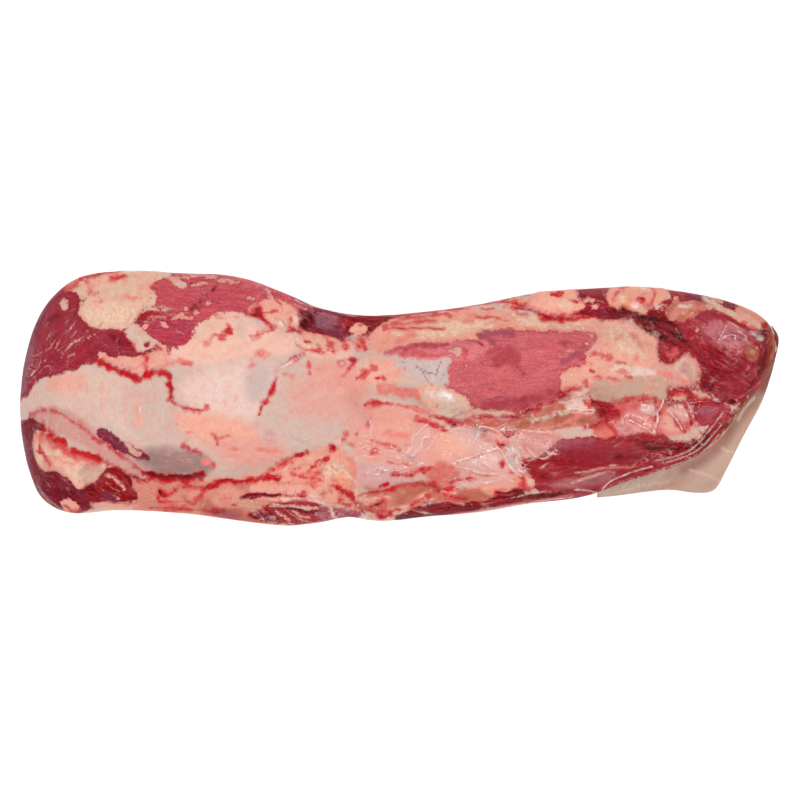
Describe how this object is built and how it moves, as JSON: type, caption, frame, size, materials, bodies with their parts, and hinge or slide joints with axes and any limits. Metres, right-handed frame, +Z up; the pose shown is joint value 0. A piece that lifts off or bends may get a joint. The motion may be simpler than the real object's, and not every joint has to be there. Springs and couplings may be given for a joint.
{
  "type": "whole beef tenderloin",
  "caption": "Whole untrimmed raw beef tenderloin, thick head to thin tail, lying flat and vacuum packed in clear film whose free end stands out round the tail.",
  "frame": {"origin": "under the middle of the whole part's box, on the face that it rests on", "axes": "+X along the length from the thick head to the thin tail, +Z up out of the side that shows"},
  "size_m": [0.5018, 0.1704, 0.0618],
  "materials": {
    "raw_beef": "moist raw muscle with marbling, cream fat and pearly silver skin, under skin-tight glossy film",
    "clear_film": "clear glossy film, slightly milky where it is creased"
  },
  "bodies": {
    "root": {"tenderloin": "raw_beef", "vacuum_bag": "clear_film"}
  },
  "joints": []
}
